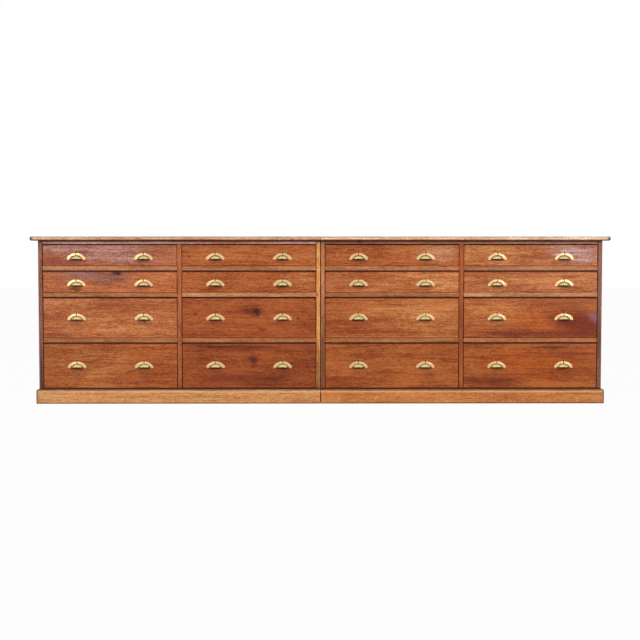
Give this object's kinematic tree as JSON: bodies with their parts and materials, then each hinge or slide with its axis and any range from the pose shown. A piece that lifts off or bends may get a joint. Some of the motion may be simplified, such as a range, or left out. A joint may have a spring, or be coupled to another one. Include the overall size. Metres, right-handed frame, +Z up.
{
  "type": "haberdashery cabinet",
  "caption": "Long low wooden chest of shallow and deep drawers in two joined carcasses, with brass cup handles, a bullnosed top and a moulded plinth.",
  "frame": {"origin": "on the floor, at the middle of the whole cabinet's width and depth", "axes": "+X to the right along the front, -Y out of the front, the way the drawers pull, +Z up"},
  "size_m": [2.9386, 0.54, 0.85],
  "materials": {
    "worn_top": "waxed, worn",
    "mahogany_carcass": "french polished",
    "mahogany_front": "french polished",
    "pale_plinth": "waxed",
    "pine": "bare, aged",
    "cast_brass": "polished, lightly aged"
  },
  "bodies": {
    "carcass": {"left_top": "worn_top", "left_plinth": "pale_plinth", "left_inner_side": "mahogany_carcass", "left_outer_side": "mahogany_carcass", "left_dividing_frame": "mahogany_carcass", "left_back_boards": "pine", "right_top": "worn_top", "right_plinth": "pale_plinth", "right_inner_side": "mahogany_carcass", "right_outer_side": "mahogany_carcass", "right_dividing_frame": "mahogany_carcass", "right_back_boards": "pine"},
    "c1_r1": {"drawer_c1_r1": "mahogany_front", "drawer_c1_r1_left_handle": "cast_brass", "drawer_c1_r1_right_handle": "cast_brass"},
    "c1_r2": {"drawer_c1_r2": "mahogany_front", "drawer_c1_r2_left_handle": "cast_brass", "drawer_c1_r2_right_handle": "cast_brass"},
    "c1_r3": {"drawer_c1_r3": "mahogany_front", "drawer_c1_r3_left_handle": "cast_brass", "drawer_c1_r3_right_handle": "cast_brass"},
    "c1_r4": {"drawer_c1_r4": "mahogany_front", "drawer_c1_r4_left_handle": "cast_brass", "drawer_c1_r4_right_handle": "cast_brass"},
    "c2_r1": {"drawer_c2_r1": "mahogany_front", "drawer_c2_r1_left_handle": "cast_brass", "drawer_c2_r1_right_handle": "cast_brass"},
    "c2_r2": {"drawer_c2_r2": "mahogany_front", "drawer_c2_r2_left_handle": "cast_brass", "drawer_c2_r2_right_handle": "cast_brass"},
    "c2_r3": {"drawer_c2_r3": "mahogany_front", "drawer_c2_r3_left_handle": "cast_brass", "drawer_c2_r3_right_handle": "cast_brass"},
    "c2_r4": {"drawer_c2_r4": "mahogany_front", "drawer_c2_r4_left_handle": "cast_brass", "drawer_c2_r4_right_handle": "cast_brass"},
    "c3_r1": {"drawer_c3_r1": "mahogany_front", "drawer_c3_r1_left_handle": "cast_brass", "drawer_c3_r1_right_handle": "cast_brass"},
    "c3_r2": {"drawer_c3_r2": "mahogany_front", "drawer_c3_r2_left_handle": "cast_brass", "drawer_c3_r2_right_handle": "cast_brass"},
    "c3_r3": {"drawer_c3_r3": "mahogany_front", "drawer_c3_r3_left_handle": "cast_brass", "drawer_c3_r3_right_handle": "cast_brass"},
    "c3_r4": {"drawer_c3_r4": "mahogany_front", "drawer_c3_r4_left_handle": "cast_brass", "drawer_c3_r4_right_handle": "cast_brass"},
    "c4_r1": {"drawer_c4_r1": "mahogany_front", "drawer_c4_r1_left_handle": "cast_brass", "drawer_c4_r1_right_handle": "cast_brass"},
    "c4_r2": {"drawer_c4_r2": "mahogany_front", "drawer_c4_r2_left_handle": "cast_brass", "drawer_c4_r2_right_handle": "cast_brass"},
    "c4_r3": {"drawer_c4_r3": "mahogany_front", "drawer_c4_r3_left_handle": "cast_brass", "drawer_c4_r3_right_handle": "cast_brass"},
    "c4_r4": {"drawer_c4_r4": "mahogany_front", "drawer_c4_r4_left_handle": "cast_brass", "drawer_c4_r4_right_handle": "cast_brass"}
  },
  "joints": [
    {"name": "c1_r1_slide", "type": "slide", "parent": "carcass", "child": "c1_r1", "axis": [0, -1, 0], "range_m": [0, 0.38]},
    {"name": "c1_r2_slide", "type": "slide", "parent": "carcass", "child": "c1_r2", "axis": [0, -1, 0], "range_m": [0, 0.38]},
    {"name": "c1_r3_slide", "type": "slide", "parent": "carcass", "child": "c1_r3", "axis": [0, -1, 0], "range_m": [0, 0.38]},
    {"name": "c1_r4_slide", "type": "slide", "parent": "carcass", "child": "c1_r4", "axis": [0, -1, 0], "range_m": [0, 0.38]},
    {"name": "c2_r1_slide", "type": "slide", "parent": "carcass", "child": "c2_r1", "axis": [0, -1, 0], "range_m": [0, 0.38]},
    {"name": "c2_r2_slide", "type": "slide", "parent": "carcass", "child": "c2_r2", "axis": [0, -1, 0], "range_m": [0, 0.38]},
    {"name": "c2_r3_slide", "type": "slide", "parent": "carcass", "child": "c2_r3", "axis": [0, -1, 0], "range_m": [0, 0.38]},
    {"name": "c2_r4_slide", "type": "slide", "parent": "carcass", "child": "c2_r4", "axis": [0, -1, 0], "range_m": [0, 0.38]},
    {"name": "c3_r1_slide", "type": "slide", "parent": "carcass", "child": "c3_r1", "axis": [0, -1, 0], "range_m": [0, 0.38]},
    {"name": "c3_r2_slide", "type": "slide", "parent": "carcass", "child": "c3_r2", "axis": [0, -1, 0], "range_m": [0, 0.38]},
    {"name": "c3_r3_slide", "type": "slide", "parent": "carcass", "child": "c3_r3", "axis": [0, -1, 0], "range_m": [0, 0.38]},
    {"name": "c3_r4_slide", "type": "slide", "parent": "carcass", "child": "c3_r4", "axis": [0, -1, 0], "range_m": [0, 0.38]},
    {"name": "c4_r1_slide", "type": "slide", "parent": "carcass", "child": "c4_r1", "axis": [0, -1, 0], "range_m": [0, 0.38]},
    {"name": "c4_r2_slide", "type": "slide", "parent": "carcass", "child": "c4_r2", "axis": [0, -1, 0], "range_m": [0, 0.38]},
    {"name": "c4_r3_slide", "type": "slide", "parent": "carcass", "child": "c4_r3", "axis": [0, -1, 0], "range_m": [0, 0.38]},
    {"name": "c4_r4_slide", "type": "slide", "parent": "carcass", "child": "c4_r4", "axis": [0, -1, 0], "range_m": [0, 0.38]}
  ]
}
